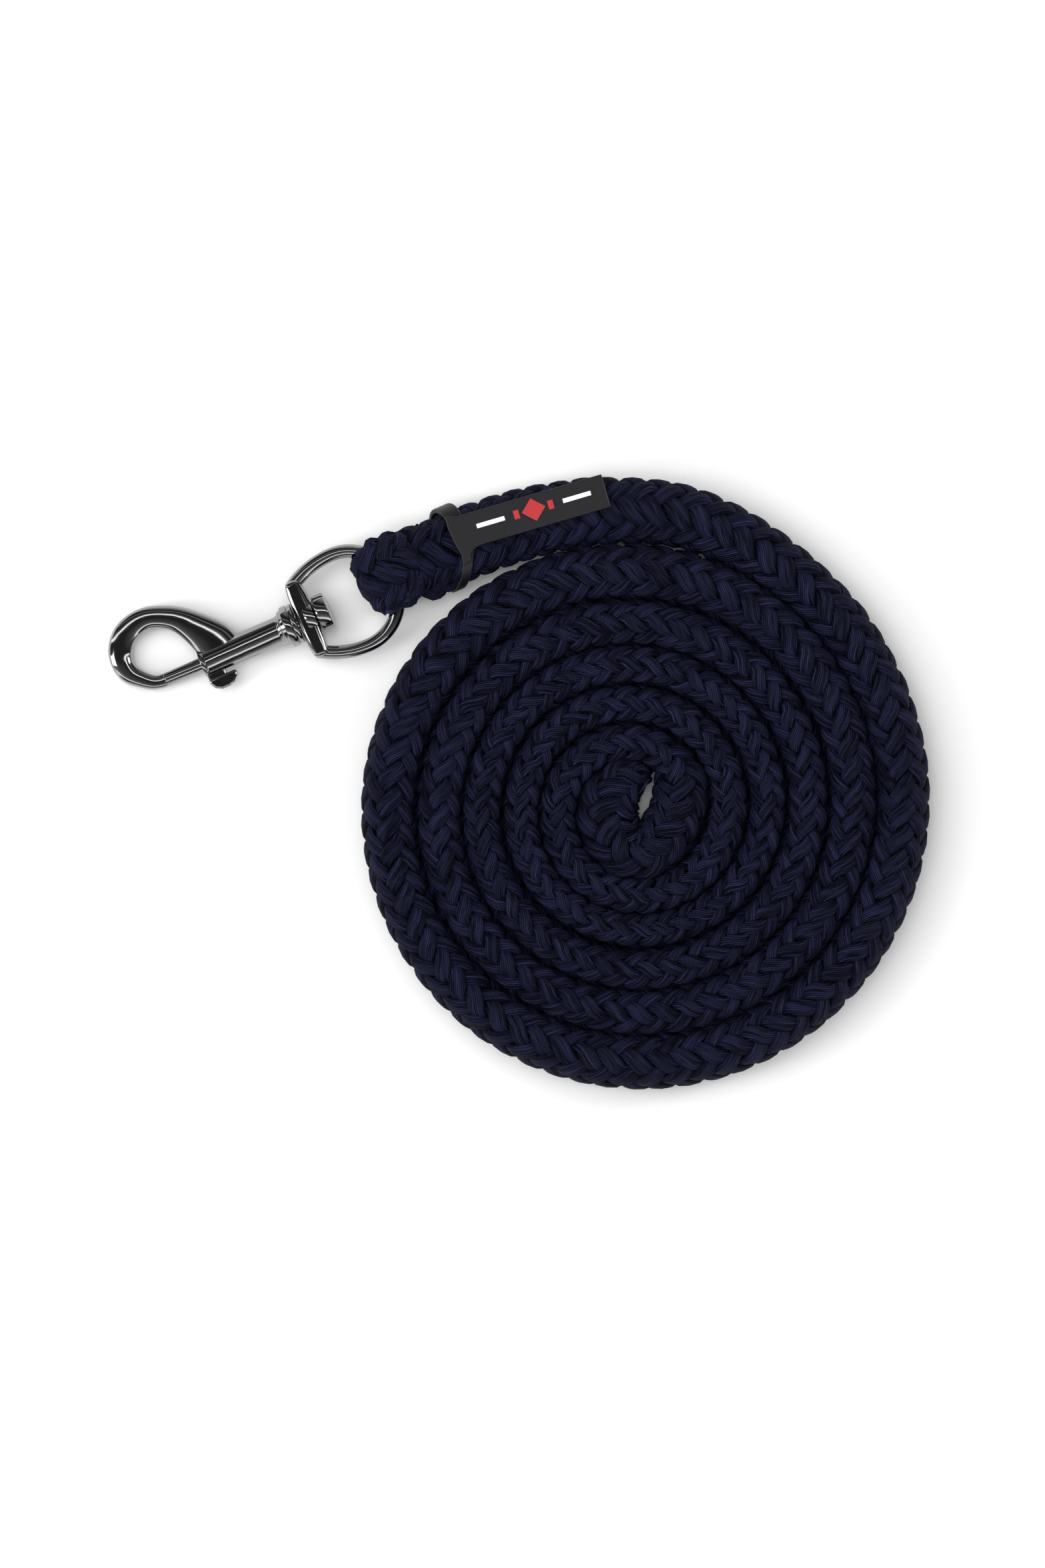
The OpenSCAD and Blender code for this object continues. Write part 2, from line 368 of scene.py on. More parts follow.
def heart(course):
    """Rings of the rope's dark heart, seen only deep between the strands, and their empty marks."""
    turns = 2 * math.pi * np.arange(HEART_SIDES) / HEART_SIDES
    every_third = slice(None, None, 3)
    depth = course.thick * HEART_DEPTH
    heart_w = np.maximum(course.w - depth, course.w * HEART_LEAST)[every_third][:, None, :]
    heart_h = np.maximum(course.h - depth, course.h * HEART_LEAST)[every_third][:, None, :]
    rings = (
        course.middle[every_third][:, None, :]
        + course.across[every_third][:, None, :] * heart_w * np.cos(turns)[None, :, None]
        + course.up[every_third][:, None, :] * heart_h * np.sin(turns)[None, :, None]
    )
    return rings, np.zeros_like(rings)


def braid(name, line, side, half_w, half_h, cell, strand_t, power):
    """A round braid of 8 strands each way, laid along line with its width along side.

    Every argument between name and power has one row per point of the line.
    """
    course = Course(line, side, half_w, half_h, cell, strand_t)
    tubes = [strand(course, way, number, power) for way in (1, -1) for number in range(STRANDS)]
    tubes.append(heart(course))
    points = []
    faces = []
    for rings, _ in tubes:
        faces.extend(tube_faces(len(rings), rings.shape[1], len(points)))
        points.extend(rings.reshape(-1, 3))
    marks = np.concatenate([tube_marks.reshape(-1, 3) for _, tube_marks in tubes])
    made = new_object(name, points, faces)
    fibre = made.data.attributes.new("fibre", "FLOAT_VECTOR", "POINT")
    fibre.data.foreach_set("vector", marks.astype(np.float32).ravel())
    return made


def rounded_end(distance, radius):
    """Share of the full size at a distance from an end rounded off over radius, but never to a point."""
    x = np.clip(distance / radius, END_LEAST, 1)
    return np.sqrt(1 - (1 - x) ** 2)


# The rope's front end, the shoulder that the eye's returning leg enters.
SHOULDER = [
    (0.0572, -0.0020, 0.0096, 0.0148, 0.0090, CELL_AT_TAG),
    (0.0650, -0.0014, 0.0103, 0.0143, 0.0095, CELL_AT_TAG),
]
SHOULDER_ROUND = 0.005
INNER_END_ROUND = 0.010
# A strand's thickness, and its greatest share of half the rope's width or height.
STRAND_T = 0.0032
STRAND_T_SHARE = 0.42
# What is left of a strand's thickness at the rounded ends.
STRAND_T_AT_END = 0.4

rope_rows = smooth_line(SHOULDER + ROUTE, 8)
rope_path = rope_rows[:, :3]
rope_half_w, rope_half_h, rope_cell = rope_rows[:, 3:].T
travelled = travelled_along(rope_path)
rope_length = float(travelled[-1])
ends = rounded_end(travelled, SHOULDER_ROUND) * rounded_end(rope_length - travelled, INNER_END_ROUND)
forward = unit(np.gradient(rope_path, axis=0))
rope_side = unit(np.stack([forward[:, 1], -forward[:, 0], np.zeros(len(rope_path))], axis=1))
strand_t_room = STRAND_T_SHARE * np.minimum(rope_half_w, rope_half_h)
rope_strand_t = np.minimum(STRAND_T, strand_t_room) * (STRAND_T_AT_END + (1 - STRAND_T_AT_END) * ends)
rope = braid("rope", rope_path, rope_side, rope_half_w * ends, rope_half_h * ends, rope_cell, rope_strand_t,
             ROPE_POWER)


# The eye: the rope flattened, laid over the ring's wire and back under it.
EYE_AT = Vector(JOINTS["eye_hinge"]["pos_m"])
EYE_AXIS = Vector(JOINTS["eye_hinge"]["axis"]).normalized()
EYE_BACK = EYE_AXIS.cross(Vector((0, 0, 1)))
EYE_LEFT = 0.0008
EYE_R = 0.0077
EYE_OVAL = 0.0011
EYE_DRIFT = 0.00002
EYE_HALF_W = 0.0146
EYE_FRONT_PINCH = 0.0026
EYE_LOW_PINCH = 0.0030
EYE_HALF_T = 0.0036
EYE_TOP_SWELL = 0.0012
EYE_LOW_THINNING = 0.0003
EYE_BEND_STEPS = 8
EYE_STRAND_T_SHARE = 0.72
EYE_CELL = 0.9 * CELL_AT_TAG
# Each row: distance behind the hinge, to the left of it, above it, half width, half thickness.
EYE_TOP_LEG = [
    (0.0122, 0.0014, -0.0040, 0.0084, 0.0038),
    (0.0112, 0.0014, 0.0010, 0.0104, 0.0044),
    (0.0088, 0.0010, 0.0055, 0.0126, 0.0049),
    (0.0044, 0.0004, 0.0084, 0.0143, 0.0049),
]
EYE_LOW_LEG = [
    (0.007, -0.0012, -0.0086, 0.0118, 0.0034),
    (0.013, -0.0016, -0.0083, 0.0124, 0.0036),
    (0.020, -0.0010, -0.0072, 0.0120, 0.0040),
]


def eye_bend():
    """Rows of the half turn round the front of the ring's wire: thicker on top, narrower below."""
    rows = []
    for i in range(EYE_BEND_STEPS + 1):
        angle = math.pi * i / EYE_BEND_STEPS
        c, s = math.cos(angle), math.sin(angle)
        radius = EYE_R + EYE_OVAL * c**2
        half_w = EYE_HALF_W - EYE_FRONT_PINCH * s - EYE_LOW_PINCH * max(0.0, -c)
        half_t = EYE_HALF_T + (EYE_TOP_SWELL if c > 0 else EYE_LOW_THINNING) * c
        rows.append((-radius * s, -EYE_DRIFT * i, radius * c, half_w, half_t))
    return rows


eye_rows = smooth_line(EYE_TOP_LEG + eye_bend() + EYE_LOW_LEG, 6)
eye_line = np.array([
    EYE_AT + EYE_BACK * behind + EYE_AXIS * (left + EYE_LEFT) + Vector((0, 0, above))
    for behind, left, above in eye_rows[:, :3]
])
eye_side = np.tile(np.array(EYE_AXIS), (len(eye_line), 1))
eye_half_w, eye_half_t = eye_rows[:, 3:].T
eye_cell = np.full(len(eye_line), EYE_CELL)
eye_strand_t = EYE_STRAND_T_SHARE * eye_half_t
eye = braid("rope_eye_loop", eye_line, eye_side, eye_half_w, eye_half_t, eye_cell, eye_strand_t, EYE_POWER)


# ---------------------------------------------------------------- the snap's own frame

# Its middle lies on the barrel's axis. X runs along the barrel towards the ring, Y towards the hook, Z up.
RING_X = 38.0
RING_R = 17.6
EYE_INSET = 1.5
EYE_TURN = math.radians(7)
AXIS = Vector(JOINTS["snap_swivel"]["axis"]).normalized()
ACROSS = Vector((0, 1, 0))
ABOVE = AXIS.cross(ACROSS)
SNAP_AT = (
    EYE_AT
    - AXIS * (RING_X + (RING_R - EYE_INSET) * math.cos(EYE_TURN)) * MM
    - ACROSS * (RING_R - EYE_INSET) * math.sin(EYE_TURN) * MM
)
TO_ROW = np.array([AXIS, ACROSS, ABOVE]) * MM
METAL_POWER = 3.0


def snap_points(rows):
    """Points of the snap's own frame, in millimetres, as points of the row frame."""
    return np.array(SNAP_AT) + np.array(rows, float) @ TO_ROW


def lathe(profile, sides=72):
    """Rings round the barrel's axis through (x, radius) pairs."""
    turns = 2 * math.pi * np.arange(sides) / sides
    return [snap_points([(x, r * math.cos(a), r * math.sin(a)) for a in turns]) for x, r in profile]


def bevelled(profile, bevel=0.25):
    """The (x, radius) pairs with each corner cut by short steps."""
    found = []
    last = len(profile) - 1
    for i, (x, r) in enumerate(profile):
        if i in (0, last):
            inward = 1 if i == 0 else -1
            steps = [(0, bevel), (0.29 * bevel, 0.29 * bevel), (bevel, 0)]
            ring = [(x + inward * dx, r - dr) for dx, dr in steps]
            found.extend(ring if i == 0 else ring[::-1])
            continue
        at = np.array((x, r), float)
        before = np.array(profile[i - 1], float) - at
        after = np.array(profile[i + 1], float) - at
        reach = min(bevel, np.linalg.norm(before) / 2, np.linalg.norm(after) / 2)
        first = at + before / np.linalg.norm(before) * reach
        last_point = at + after / np.linalg.norm(after) * reach
        found.extend([first, (first + last_point + 2 * at) / 4, last_point])
    return found


def flat_tube(rows, sides, power, steps):
    """Rings along a curve in the snap's flat plane. Rows: x, y, half width, half thickness."""
    path = smooth_line(rows, steps)
    forward = unit(np.gradient(path[:, :2], axis=0))
    turns = 2 * math.pi * (np.arange(sides) + 0.5) / sides
    rings = []
    for (x, y, half_w, half_t), (dx, dy) in zip(path, forward):
        w = half_w * power_cos(turns, power)
        t = half_t * power_sin(turns, power)
        rings.append(snap_points(np.stack([x + dy * w, y - dx * w, t], axis=1)))
    return rings


def block(low, high):
    """Rings of a box between two corners."""
    (x0, y0, z0), (x1, y1, z1) = low, high
    return [snap_points([(x, y0, z0), (x, y1, z0), (x, y1, z1), (x, y0, z1)]) for x in (x0, x1)]


def prism(outline, z0, z1):
    """Rings of an outline of (x, y) points, between two heights."""
    return [snap_points([(x, y, z) for x, y in outline]) for z in (z0, z1)]


def solid(name, smooth_angle, *tubes):
    """One piece of open tubes."""
    gathered = Solid()
    for rings in tubes:
        gathered.tube(rings)
    return gathered.make(name, smooth_angle)


def join(first, *others):
    """Others become part of first."""
    bpy.ops.object.select_all(action="DESELECT")
    for other in (first, *others):
        other.select_set(True)
    bpy.context.view_layer.objects.active = first
    bpy.ops.object.join()
    return first


def cut(piece, cutter):
    """Takes cutter out of piece."""
    modifier = piece.modifiers.new("cut", "BOOLEAN")
    modifier.object = cutter
    modifier.solver = "EXACT"
    bpy.context.view_layer.objects.active = piece
    bpy.ops.object.modifier_apply(modifier=modifier.name)
    bpy.data.objects.remove(cutter)


def bevel(piece, width, segments=3):
    """Rounds the sharp edges of piece by a width in millimetres."""
    modifier = piece.modifiers.new("bevel", "BEVEL")
    modifier.width = width * MM
    modifier.segments = segments
    modifier.limit_method = "ANGLE"
    modifier.angle_limit = math.radians(40)
    return piece


# ---------------------------------------------------------------- metal

# Middle of the hook's arm from its tip round to the barrel: x, y, half width, half thickness.
ARM = [
    (-34.5, 0, 2.5, 2.5), (-36.2, 0.1, 2.5, 2.6), (-39, 1.1, 2.7, 2.8), (-42.3, 3.7, 3.1, 3.2),
    (-45.3, 7.2, 3.7, 3.7), (-46.3, 11.4, 4, 4), (-45.2, 16, 4.4, 4), (-41.8, 20.3, 4.5, 4),
    (-37, 22.6, 4.3, 4), (-31.8, 23, 4.1, 4), (-26.4, 21.2, 4.2, 4), (-21.4, 18, 4.8, 4),
    (-17, 12.8, 6, 4), (-13, 6.2, 7.6, 4), (-12, 1, 8, 4),
]
BARREL_FRONT = -20.0
BARREL_R = 5.2
BORE_R = 2.55
BORE_END = 11.0
SLOT_END = 1.4
SLOT_HALF_H = 2.1
POST_R = 3.0
POST_FRONT = 12.4
# Turned outlines are (x, radius) pairs. The barrel flares into two flanges with a groove between them.
BARREL = [
    (BARREL_FRONT, 5.45), (BARREL_FRONT + 1.2, 5.45), (BARREL_FRONT + 1.7, BARREL_R), (10.4, BARREL_R),
    (11.4, 5.6), (12.0, 6.5), (13.3, 7.0), (13.4, 7.7), (15.7, 7.7), (15.8, 7.0), (16.1, 7.0), (16.2, 7.5),
    (17.6, 7.5),
]
# How far the cutters reach past the barrel's front.
PAST = 3.0


def snap_body():
    """Hook, barrel and flange, with the bolt's bore, the tab's slot and the post's hole."""
    hook = solid("snap_hook", 50, flat_tube(ARM, 40, METAL_POWER, 10))
    barrel = solid("snap_casting", 30, lathe(bevelled(BARREL)))
    cut(barrel, solid("bore", 35, lathe([(BARREL_FRONT - PAST, BORE_R), (BORE_END, BORE_R)], 40)))
    slot = block((BARREL_FRONT - PAST, -12, -SLOT_HALF_H), (SLOT_END, 0, SLOT_HALF_H))
    cut(barrel, solid("slot_cutter", 35, slot))
    cut(barrel, solid("post_hole", 35, lathe([(POST_FRONT, POST_R), (20, POST_R)], 40)))
    barrel.data.set_sharp_from_angle(angle=math.radians(30))
    return join(barrel, hook)


WIRE_R = 2.5
SIDE_R = 32.0
SIDE_ANGLE = math.radians(34)
RING_STEPS = 60
SIDE_STEPS = 30
BOSS = [(20.9, 5.9), (24.95, 5.9)]


def d_ring():
    """The ring's wire, from one end of the cross bar round to the other, and the boss for the post."""
    bow = []
    for i in range(RING_STEPS + 1):
        angle = math.pi / 2 - math.pi * i / RING_STEPS
        bow.append((RING_X + RING_R * math.cos(angle), RING_R * math.sin(angle)))
    arc = []
    for i in range(SIDE_STEPS):
        angle = SIDE_ANGLE * (1 - i / SIDE_STEPS)
        arc.append((RING_X - SIDE_R * math.sin(angle), RING_R - SIDE_R + SIDE_R * math.cos(angle)))
    middle = arc + bow + [(x, -y) for x, y in arc[::-1]]
    wire = flat_tube([(x, y, WIRE_R, WIRE_R) for x, y in middle], 32, 2.0, 1)
    return solid("d_ring", 45, wire, lathe(bevelled(BOSS, 0.9)))


BAR_HALF_H = 4.6
BAR = [
    (18.8, -14.5), (18.2, -10), (18.0, -5), (18.0, 5), (18.2, 10), (18.8, 14.5), (24.0, 14.5), (24.7, 8),
    (24.9, 0), (24.7, -8), (24.0, -14.5),
]


def cross_bar():
    return bevel(solid("cross_bar", 30, prism(BAR, -BAR_HALF_H, BAR_HALF_H)), 1.6, 5)


def swivel_post():
    """The post's shank and its head behind the cross bar."""
    shank = lathe(bevelled([(POST_FRONT, POST_R), (25.5, POST_R)], 0.1), 40)
    head = lathe(bevelled([(25.4, 6.6), (30, 6.6)], 0.7))
    return solid("swivel_post_and_head", 30, shank, head)


BOLT_R = 2.5
BOLT_FRONT = -34.3
BOLT_BACK = -9.0


def bolt_rod():
    return solid("bolt_rod", 30, lathe(bevelled([(BOLT_FRONT, BOLT_R), (BOLT_BACK, BOLT_R)], 0.2), 48))


TAB_NECK = ((-19.9, -7.4, -1.9), (-12.9, -1.9, 1.9))
TAB_FOOT = [
    (-19.9, -6.4), (-9.9, -6.4), (-9.1, -7.0), (-9.5, -8.6), (-11.3, -10.4), (-13.5, -11.2), (-16.5, -11.2),
    (-18.7, -10.0), (-19.9, -7.8),
]
TAB_FOOT_HALF_H = 3.0


def thumb_tab():
    """The neck in the barrel's slot, and the foot that the thumb draws."""
    foot = prism(TAB_FOOT, -TAB_FOOT_HALF_H, TAB_FOOT_HALF_H)
    return bevel(solid("thumb_tab_casting", 30, block(*TAB_NECK), foot), 0.8, 4)


SPRING_FRONT = -8.9
SPRING_TURNS = 7
SPRING_STEPS = 24
SPRING_R = 1.8
SPRING_WIRE_R = 0.35
SPRING_WIRE_SIDES = 10
SPRING_LENGTH = BORE_END - SPRING_FRONT


def coil_spring():
    """A helix of wire between the bolt's back and the end of the bore."""
    rings = []
    count = SPRING_STEPS * SPRING_TURNS
    for i in range(count + 1):
        angle = 2 * math.pi * i / SPRING_STEPS
        x = SPRING_FRONT + SPRING_WIRE_R + (SPRING_LENGTH - 3 * SPRING_WIRE_R) * i / count
        wire = []
        for j in range(SPRING_WIRE_SIDES):
            turn = 2 * math.pi * j / SPRING_WIRE_SIDES
            out = SPRING_R + SPRING_WIRE_R * math.cos(turn)
            wire.append((x + SPRING_WIRE_R * math.sin(turn), out * math.cos(angle), out * math.sin(angle)))
        rings.append(snap_points(wire))
    return solid("spring", 35, rings)


snap = snap_body()
ring = d_ring()
bar = cross_bar()
post = swivel_post()
bolt = bolt_rod()
tab = thumb_tab()
spring = coil_spring()


# ---------------------------------------------------------------- tag

TAG_TURN = math.radians(-7)
TAG_AT = (0.08225, 0.0023)
TAG_LENGTH = 0.052
TAG_HALF_W = 0.0061
TAG_LOW = 0.0183
TAG_HIGH = 0.0209
NOSE_X = -0.002
NOSE_LENGTH = 0.0040
NOSE_REACH = 0.0012
NOSE_STEPS = 6
FLARE_X = -0.0016
FLARE_LENGTH = 0.0060
FLARE_REACH = 0.0045
FLARE_STEPS = 8
FLARE_FRONT = [(-0.0062, 0.0030), (-0.0053, -0.0030), (-0.0042, -0.0075), (-0.0044, -0.0116)]

COLLAR_AT = (0.07295, -0.0013, 0.0100)
COLLAR_STEPS = 72
COLLAR_HALF_W = 0.0145
COLLAR_HALF_H = 0.0097
COLLAR_HALF_LENGTH = 0.0021
COLLAR_SIDE_T = 0.0018
COLLAR_TOP_T = 0.0014
# How much wider and longer the collar is towards the hook's side.
COLLAR_SWELL_W = 0.0014
COLLAR_SWELL_LENGTH = 0.0010


def tag_points(rows):
    """Points along, across and above the tongue as points of the row frame."""
    c, s = math.cos(TAG_TURN), math.sin(TAG_TURN)
    return np.array([(TAG_AT[0] + a * c - b * s, TAG_AT[1] + a * s + b * c, z) for a, b, z in rows])


def tongue():
    """The flat tongue along the rope, flared at its front to meet the collar."""
    outline = [(TAG_LENGTH, -TAG_HALF_W), (TAG_LENGTH, TAG_HALF_W)]
    for i in range(NOSE_STEPS + 1):
        share = i / NOSE_STEPS
        outline.append((NOSE_X - NOSE_LENGTH * share, TAG_HALF_W + NOSE_REACH * share))
    outline.extend(FLARE_FRONT)
    for i in range(FLARE_STEPS + 1):
        angle = math.pi / 2 * i / FLARE_STEPS
        back = FLARE_X + FLARE_LENGTH * (1 - math.cos(angle))
        outline.append((back, -TAG_HALF_W - FLARE_REACH * (1 - math.sin(angle))))
    gathered = Solid()
    gathered.tube([tag_points([(a, b, z) for a, b in outline]) for z in (TAG_LOW, TAG_HIGH)])
    return bevel(gathered.make("tag_tongue", 30), 0.35)


def collar_lean(angle):
    """How far back the collar lies at an angle round the rope: forward underneath, back over the top."""
    if math.cos(angle) > 0:
        above = (angle + math.pi) % (2 * math.pi) - math.pi
        return -0.0010 + 0.0080 * ease((above + 1.3) / 2.2)
    return -0.0024 + 0.0094 * ease((3.5 - angle) / 1.95)


def collar():
    """The band round the rope, wider and longer on the hook's side."""
    rings = []
    for i in range(COLLAR_STEPS):
        angle = 2 * math.pi * i / COLLAR_STEPS
        c, s = math.cos(angle), math.sin(angle)
        half_w = COLLAR_HALF_W + COLLAR_SWELL_W * max(0.0, c)
        reach = COLLAR_HALF_LENGTH + COLLAR_SWELL_LENGTH * max(0.0, math.cos(angle - 0.5))
        x = COLLAR_AT[0] + collar_lean(angle)
        outer = (COLLAR_AT[1] + half_w * c, COLLAR_AT[2] + COLLAR_HALF_H * s)
        inner_w, inner_h = half_w - COLLAR_SIDE_T, COLLAR_HALF_H - COLLAR_TOP_T
        inner = (COLLAR_AT[1] + inner_w * c, COLLAR_AT[2] + inner_h * s)
        front, back = x - reach, x + reach
        rings.append(np.array([(front, *outer), (back, *outer), (back, *inner), (front, *inner)]))
    gathered = Solid()
    gathered.tube(rings, closed=True)
    return bevel(gathered.make("tag_collar", 40), 0.4)


tag_parts = (tongue(), collar())
for part in tag_parts:
    bpy.context.view_layer.objects.active = part
    bpy.ops.object.modifier_apply(modifier="bevel")
tag = join(*tag_parts)
tag.name = "tag"


# ---------------------------------------------------------------- materials

class Look:
    """A node material, built by short calls. A value is a socket, a number or a colour."""

    def __init__(self, name):
        self.material = bpy.data.materials.new(name)
        self.material.use_nodes = True
        self.tree = self.material.node_tree
        self.shader = self.tree.nodes["Principled BSDF"]

    def set(self, **values):
        for name, value in values.items():
            socket = self.shader.inputs[name.replace("_", " ")]
            if isinstance(value, bpy.types.NodeSocket):
                self.tree.links.new(value, socket)
            elif isinstance(value, tuple):
                socket.default_value = (*value, 1)
            else:
                socket.default_value = value

    def math(self, operation, *values):
        node = self.tree.nodes.new("ShaderNodeMath")
        node.operation = operation
        for socket, value in zip(node.inputs, values):
            if isinstance(value, bpy.types.NodeSocket):
                self.tree.links.new(value, socket)
            else:
                socket.default_value = value
        return node.outputs[0]

    def noise(self, scale, detail=2, vector=None):
        node = self.tree.nodes.new("ShaderNodeTexNoise")
        node.inputs["Scale"].default_value = scale
        node.inputs["Detail"].default_value = detail
        if vector is None:
            vector = self.tree.nodes.new("ShaderNodeTexCoord").outputs["Object"]
        self.tree.links.new(vector, node.inputs["Vector"])
        return node.outputs[0]

    def attribute(self, name):
        node = self.tree.nodes.new("ShaderNodeAttribute")
        node.attribute_name = name
        split = self.tree.nodes.new("ShaderNodeSeparateXYZ")
        self.tree.links.new(node.outputs["Vector"], split.inputs[0])
        return split.outputs

    def vector(self, *parts):
        node = self.tree.nodes.new("ShaderNodeCombineXYZ")
        for socket, part in zip(node.inputs, parts):
            self.tree.links.new(part, socket)
        return node.outputs[0]

    def mix(self, factor, first, second):
        node = self.tree.nodes.new("ShaderNodeMix")
        node.data_type = "RGBA"
        self.tree.links.new(factor, node.inputs["Factor"])
        node.inputs["A"].default_value = (*first, 1)
        node.inputs["B"].default_value = (*second, 1)
        return node.outputs["Result"]

    def bump(self, height, distance, strength=1.0):
        node = self.tree.nodes.new("ShaderNodeBump")
        node.inputs["Strength"].default_value = strength
        node.inputs["Distance"].default_value = distance
        self.tree.links.new(height, node.inputs["Height"])
        self.tree.links.new(node.outputs["Normal"], self.shader.inputs["Normal"])


YARN_W = 0.00072
PLY_LENGTH = 0.0013
# Distance across a strand from its middle at which the painted shade down its edges leaves a fifth of its
# colour.
STRAND_EDGE_SHADE_REACH = 0.0036
# Ends of the cotton's colour: the dark end is reached in painted shade in the grooves and down the strand's
# edges, the light end in painted highlights along the yarns' ridges; random streaks of tone along each yarn
# also move the colour between them.
COTTON_DARK = (0.0002, 0.0003, 0.0016)
COTTON_LIGHT = (0.0270, 0.0285, 0.0770)


def cotton():
    """Cotton yarns laid side by side along each strand, uneven in tone, with painted highlights on the
    yarns' ridges, painted shade in the grooves between them and painted shade down the strand's edges.
    """
    look = Look("navy_cotton")
    along, across, chance = look.attribute("fibre")
    wobble = look.math("MULTIPLY", look.math("SUBTRACT", look.noise(260, 2), 0.5), 0.9)
    yarns = look.math("ADD", look.math("DIVIDE", across, YARN_W), wobble)
    ridge = look.math("ABSOLUTE", look.math("SINE", look.math("MULTIPLY", yarns, math.pi)))
    plies = look.math("ADD", look.math("DIVIDE", along, PLY_LENGTH), look.math("MULTIPLY", yarns, 0.8))
    ply = look.math("ABSOLUTE", look.math("SINE", look.math("MULTIPLY", plies, math.pi)))
    fine = look.noise(2600, 3)
    height = look.math("ADD", look.math("MULTIPLY", ridge, 0.8), look.math("MULTIPLY", ply, 0.15))
    height = look.math("ADD", height, look.math("MULTIPLY", fine, 0.25))

    yarn_number = look.math("FLOOR", yarns)
    streak = look.noise(1, 2, look.vector(
        look.math("MULTIPLY", along, 90),
        look.math("MULTIPLY", yarn_number, 3.7),
        look.math("MULTIPLY", chance, 60),
    ))
    streak = look.math("MAXIMUM", look.math("MULTIPLY", look.math("SUBTRACT", streak, 0.30), 2.6), 0.12)
    # Painted shade down the strand's edges: the colour darkens with distance from the strand's middle.
    edge_shade = look.math("POWER", look.math("DIVIDE", look.math("ABSOLUTE", across), STRAND_EDGE_SHADE_REACH), 3)
    edge_shade = look.math("MAXIMUM", look.math("SUBTRACT", 1.0, look.math("MULTIPLY", edge_shade, 0.8)), 0.1)
    # Painted highlight along each yarn's ridge and painted shade in the grooves between yarns, dimmed by
    # random streaks of tone along each yarn.
    shade = look.math("MULTIPLY", look.math("ADD", look.math("MULTIPLY", ridge, 0.50), 0.36), streak)
    shade = look.math("MULTIPLY", shade, edge_shade)
    look.set(Base_Color=look.mix(shade, COTTON_DARK, COTTON_LIGHT), Roughness=0.7, Specular_IOR_Level=0.08)
    look.bump(height, 0.0006)
    return look.material


def rubber(name, colour, roughness):
    """Moulded rubber with a faint grain."""
    look = Look(name)
    look.set(Base_Color=colour, Roughness=roughness)
    look.bump(look.noise(1500, 3), 0.00003, 0.5)
    return look.material


def chrome():
    """Polished dark chrome over a slightly uneven casting."""
    look = Look("dark_chrome")
    look.set(Base_Color=(0.30, 0.30, 0.305), Metallic=1.0)
    grime = look.noise(180, 3)
    look.set(Roughness=look.math("ADD", look.math("MULTIPLY", grime, 0.08), 0.04))
    look.bump(look.noise(140, 1), 0.00030, 0.30)
    return look.material


def steel():
    """Drawn spring wire."""
    look = Look("spring_steel")
    look.set(Base_Color=(0.55, 0.55, 0.56), Metallic=1.0, Roughness=0.3)
    return look.material


LOOKS = {
    "navy_cotton": cotton(),
    "black_rubber": rubber("black_rubber", (0.0060, 0.0060, 0.0075), 0.42),
    "white_rubber": rubber("white_rubber", (0.80, 0.80, 0.82), 0.5),
    "red_rubber": rubber("red_rubber", (0.42, 0.016, 0.020), 0.45),
    "dark_chrome": chrome(),
    "spring_steel": steel(),
}


def paint(piece, slot):
    """Gives a piece its material slot and the look that goes with it."""
    piece.data.materials.clear()
    piece.data.materials.append(LOOKS[slot])


def dress(piece, body, slot, *nodes):
    """Gives a piece its body, the CAD nodes that it stands for, its material slot and its look."""
    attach(piece, body)
    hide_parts(*nodes)
    paint(piece, slot)


dress(rope, "rope", "navy_cotton", "rope_coil", "rope_lead")
dress(eye, "rope", "navy_cotton", "rope_eye")
dress(tag, "rope", "black_rubber", "rubber_tag")
dress(ring, "ring", "dark_chrome", "swivel_ring")
dress(bar, "ring", "dark_chrome", "swivel_ring")
dress(snap, "snap", "dark_chrome", "snap_body")
dress(post, "snap", "dark_chrome", "swivel_post")
dress(bolt, "bolt", "dark_chrome", "bolt")
dress(tab, "bolt", "dark_chrome", "thumb_tab")
dress(spring, "snap", "spring_steel", "bolt_spring")
# The tag's marks are shown as the CAD's own pieces.
paint(frame["nodes"]["tag_dash_front"], "white_rubber")
paint(frame["nodes"]["tag_dash_rear"], "white_rubber")
paint(frame["nodes"]["tag_emblem"], "red_rubber")

# As the bolt is drawn back the spring shortens towards the end of its bore.
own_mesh(spring)


# ---------------------------------------------------------------- floor and light

FLOOR_HALF = 3.0

floor = new_object(
    "floor",
    [(-FLOOR_HALF, -FLOOR_HALF, 0), (FLOOR_HALF, -FLOOR_HALF, 0), (FLOOR_HALF, FLOOR_HALF, 0),
     (-FLOOR_HALF, FLOOR_HALF, 0)],
    [(0, 1, 2, 3)],
)
floor_look = Look("floor")
floor_look.set(Base_Color=(0.90, 0.90, 0.90), Roughness=0.9)
floor.data.materials.append(floor_look.material)


def softbox(name, place, size, power, seen=True):
    """A rectangular lamp aimed at the middle of the view, seen in polished metal or not."""
    data = bpy.data.lights.new(name, "AREA")
    data.shape = "RECTANGLE"
    data.size, data.size_y = size
    data.energy = power
    light = bpy.data.objects.new(name, data)
    bpy.context.scene.collection.objects.link(light)
    light.location = place
    light.rotation_euler = (VIEW_AT - Vector(place)).to_track_quat("-Z", "Y").to_euler()
    light.visible_glossy = seen


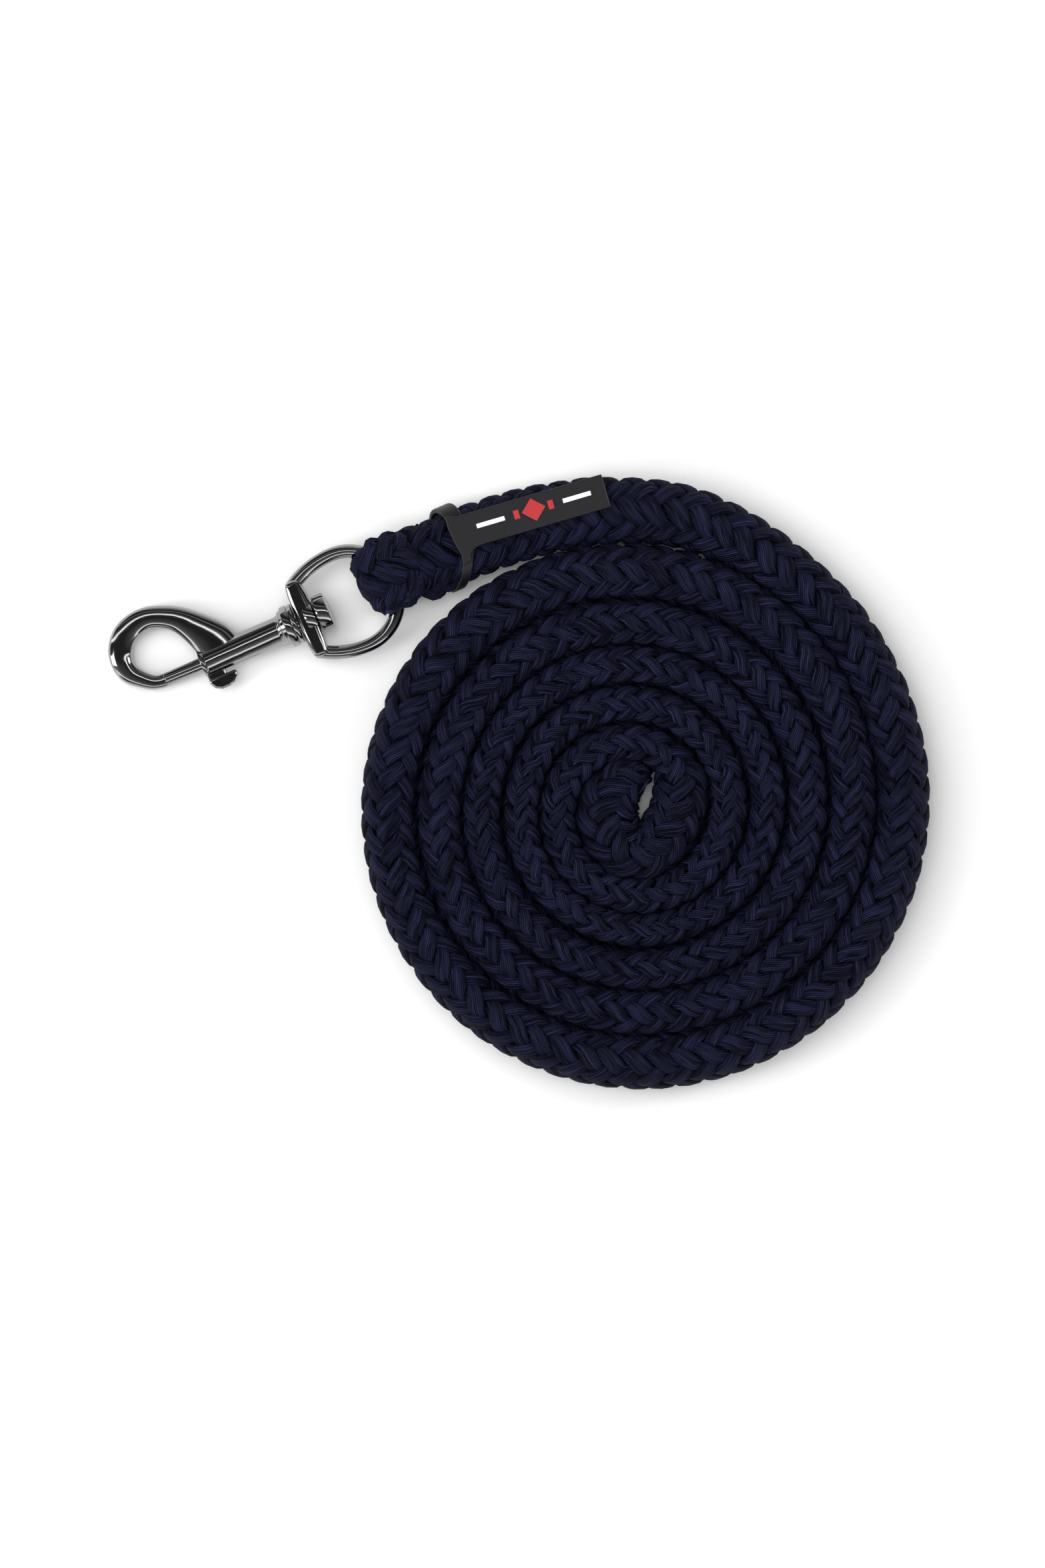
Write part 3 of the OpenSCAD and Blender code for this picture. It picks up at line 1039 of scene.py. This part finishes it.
softbox("overhead", (-0.3, 0.3, 1.6), (1.6, 1.6), 24, seen=False)
softbox("left", (-1.3, 0.2, 0.7), (0.35, 1.4), 9)
softbox("right", (1.4, -0.2, 0.6), (0.35, 1.2), 7)

# The studio that the polished metal mirrors: long lamps and dark gaps, side by side across the ceiling.
# Each row: place across the ceiling from -1 to 1, and brightness as a share of the brightest.
LAMPS = [
    (-1.00, 0.30), (-0.87, 0.02), (-0.74, 0.01), (-0.69, 0.75), (-0.61, 0.65), (-0.55, 0.12), (-0.34, 0.05),
    (-0.16, 0.03), (-0.08, 0.01), (0.02, 0.01), (0.04, 1.00), (0.10, 1.00), (0.12, 0.08), (0.20, 0.06),
    (0.25, 0.01), (0.40, 0.02), (0.43, 0.12), (0.50, 0.10), (0.54, 0.01), (0.68, 0.01), (0.78, 0.05),
    (1.00, 0.25),
]
LAMP_TURN = math.radians(60)
LAMP_STRENGTH = 3.0


def studio():
    """A world of straight stripes of light, which run square to the direction LAMP_TURN."""
    world = bpy.data.worlds.new("studio")
    world.use_nodes = True
    bpy.context.scene.world = world
    tree = world.node_tree
    background = tree.nodes["Background"]
    direction = tree.nodes.new("ShaderNodeTexCoord").outputs["Generated"]
    turned = tree.nodes.new("ShaderNodeVectorMath")
    turned.operation = "DOT_PRODUCT"
    turned.inputs[1].default_value = (math.cos(LAMP_TURN) / 2, math.sin(LAMP_TURN) / 2, 0)
    middle = tree.nodes.new("ShaderNodeMath")
    middle.operation = "ADD"
    middle.inputs[1].default_value = 0.5
    ramp = tree.nodes.new("ShaderNodeValToRGB")
    tree.links.new(direction, turned.inputs[0])
    tree.links.new(turned.outputs["Value"], middle.inputs[0])
    tree.links.new(middle.outputs[0], ramp.inputs[0])
    while len(ramp.color_ramp.elements) < len(LAMPS):
        ramp.color_ramp.elements.new(1.0)
    for element, (across, grey) in zip(ramp.color_ramp.elements, LAMPS):
        element.position = (across + 1) / 2
        element.color = (grey, grey, grey, 1)
    tree.links.new(ramp.outputs[0], background.inputs["Color"])
    background.inputs["Strength"].default_value = LAMP_STRENGTH


studio()
